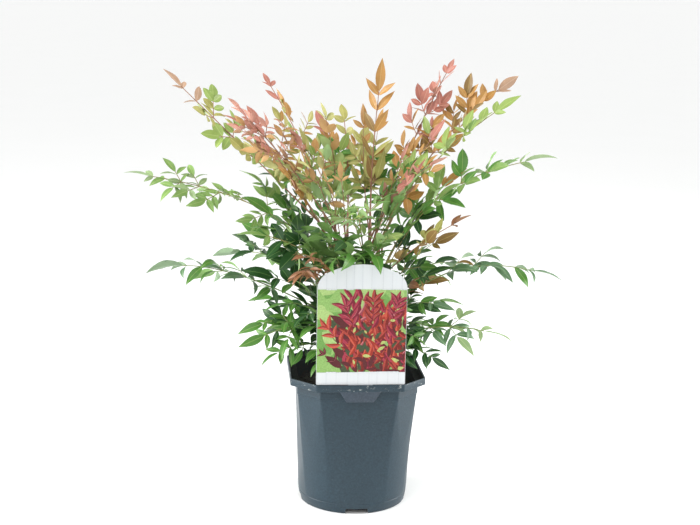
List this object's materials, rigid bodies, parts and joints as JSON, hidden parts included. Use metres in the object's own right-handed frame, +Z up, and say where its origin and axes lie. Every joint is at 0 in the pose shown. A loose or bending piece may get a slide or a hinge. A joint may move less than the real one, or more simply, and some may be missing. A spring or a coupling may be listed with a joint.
{
  "type": "potted heavenly bamboo",
  "caption": "Young heavenly bamboo shrub with upright canes and arching sprays of green, bronze and coral leaflets, in a grey nursery pot with a plain picture label.",
  "frame": {"origin": "middle of the pot's flat underside, on the surface it stands on", "axes": "+Z up, -Y towards the side of the pot that carries the label"},
  "size_m": [0.5546, 0.4149, 0.566],
  "materials": {
    "pot": "satin blue-grey moulded plastic",
    "compost": "moist dark peat compost",
    "label": "smooth printed plastic card",
    "cane": "young brown-red bark",
    "stalk": "smooth red-brown leaf stalk",
    "leaf_dark": "satin dark green leaves",
    "leaf_green": "satin mid green leaves",
    "leaf_olive": "satin lime and olive leaves",
    "leaf_bronze": "satin bronze leaves",
    "leaf_coral": "satin coral new leaves"
  },
  "bodies": {
    "root": {"pot": "pot", "compost": "compost", "label": "label", "cane_right": "cane", "cane_back_right": "cane", "cane_back_left": "cane", "cane_left": "cane", "cane_front_left": "cane", "cane_front_right": "cane", "stalk_upper_left": "stalk", "stalk_coral_left": "stalk", "stalk_coral_back_left": "stalk", "stalk_red_back": "stalk", "stalk_tall": "stalk", "stalk_coral_right": "stalk", "stalk_bronze_right": "stalk", "stalk_lime_right": "stalk", "stalk_red_front_right": "stalk", "stalk_green_right": "stalk", "stalk_bronze_low_right": "stalk", "stalk_left_mid": "stalk", "stalk_dark_left": "stalk", "stalk_front": "stalk", "stalk_front_left": "stalk", "stalk_back_mid_right": "stalk", "stalk_back_mid_left": "stalk", "stalk_right_low": "stalk", "stalk_right_lowest": "stalk", "stalk_left_low": "stalk", "stalk_left_lowest": "stalk", "stalk_back_low_right": "stalk", "stalk_back_low": "stalk", "stalk_back_low_left": "stalk", "stalk_front_low": "stalk", "leaves_upper_left": "leaf_olive", "leaves_coral_left": "leaf_coral", "leaves_coral_back_left": "leaf_coral", "leaves_red_back": "leaf_coral", "leaves_tall": "leaf_coral", "leaves_coral_right": "leaf_coral", "leaves_bronze_right": "leaf_bronze", "leaves_lime_right": "leaf_olive", "leaves_red_front_right": "leaf_coral", "leaves_green_right": "leaf_green", "leaves_bronze_low_right": "leaf_bronze", "leaves_left_mid": "leaf_green", "leaves_dark_left": "leaf_green", "leaves_front": "leaf_green", "leaves_front_left": "leaf_bronze", "leaves_back_mid_right": "leaf_green", "leaves_back_mid_left": "leaf_green", "leaves_right_low": "leaf_dark", "leaves_right_lowest": "leaf_dark", "leaves_left_low": "leaf_dark", "leaves_left_lowest": "leaf_dark", "leaves_back_low_right": "leaf_dark", "leaves_back_low": "leaf_dark", "leaves_back_low_left": "leaf_dark", "leaves_front_low": "leaf_dark"}
  },
  "joints": []
}
